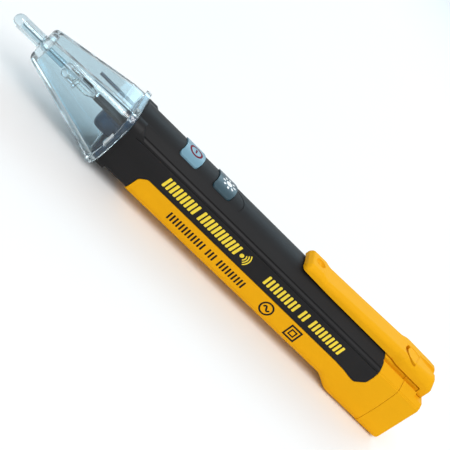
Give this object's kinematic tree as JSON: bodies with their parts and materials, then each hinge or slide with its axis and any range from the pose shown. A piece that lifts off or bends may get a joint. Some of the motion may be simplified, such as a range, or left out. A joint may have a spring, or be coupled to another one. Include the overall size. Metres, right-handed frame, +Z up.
{
  "type": "non contact voltage tester",
  "caption": "Pen-shaped non contact voltage tester with a clear sensing nose, two push buttons on top, a spring pocket clip and a sliding battery cap.",
  "frame": {"origin": "centre of the underside's bounding box, on the surface the tester lies on", "axes": "+X along the body from the sensing tip to the battery cap, +Z up through the buttons and the pocket clip"},
  "size_m": [0.176, 0.0244, 0.0284],
  "materials": {
    "clear_plastic": "polished clear polycarbonate with a pale blue tint",
    "white_lens": "clear epoxy",
    "red_lens": "clear epoxy with a faint red tint",
    "black_plastic": "fine moulded texture",
    "yellow_plastic": "satin moulded plastic",
    "power_button_plastic": "satin",
    "torch_button_plastic": "satin",
    "black_component": "matt",
    "board_laminate": "satin solder mask",
    "copper": "bare drawn wire",
    "capacitor_can": "satin",
    "battery_jacket": "glossy printed foil jacket",
    "plated_steel": "nickel plated"
  },
  "bodies": {
    "tester_body": {"nose_cone": "clear_plastic", "antenna_rod": "copper", "torch_led": "white_lens", "alarm_led": "red_lens", "led_holder": "black_component", "upper_housing": "black_plastic", "lower_housing": "yellow_plastic", "circuit_board": "board_laminate", "power_switch": "black_component", "torch_switch": "black_component", "detector_chip": "black_component", "supply_capacitor": "capacitor_can", "buzzer": "black_component", "front_battery": "battery_jacket", "rear_battery": "battery_jacket", "front_contact": "plated_steel", "contact_strip": "plated_steel", "housing_screw": "plated_steel", "board_screw_left": "plated_steel", "board_screw_right": "plated_steel"},
    "battery_cap": {"battery_cap": "yellow_plastic", "rear_contact": "plated_steel"},
    "pocket_clip": {"pocket_clip": "yellow_plastic"},
    "power_button": {"power_button": "power_button_plastic"},
    "torch_button": {"torch_button": "torch_button_plastic"}
  },
  "joints": [
    {"name": "power_button_press", "type": "slide", "parent": "tester_body", "child": "power_button", "axis": [0, 0, -1], "range_m": [0, 0.0006], "stiffness_N_per_m": 1500, "springref_m": -0.0002},
    {"name": "torch_button_press", "type": "slide", "parent": "tester_body", "child": "torch_button", "axis": [0, 0, -1], "range_m": [0, 0.0006], "stiffness_N_per_m": 1500, "springref_m": -0.0002},
    {"name": "battery_cap_slide", "type": "slide", "parent": "tester_body", "child": "battery_cap", "axis": [1, 0, 0], "range_m": [0, 0.0085]},
    {"name": "pocket_clip_flex", "type": "hinge", "parent": "battery_cap", "child": "pocket_clip", "pos_m": [0.0859, 0, 0.0213], "axis": [0, 1, 0], "range_deg": [0, 6], "stiffness_Nm_per_rad": 4, "springref_deg": -1.15}
  ]
}
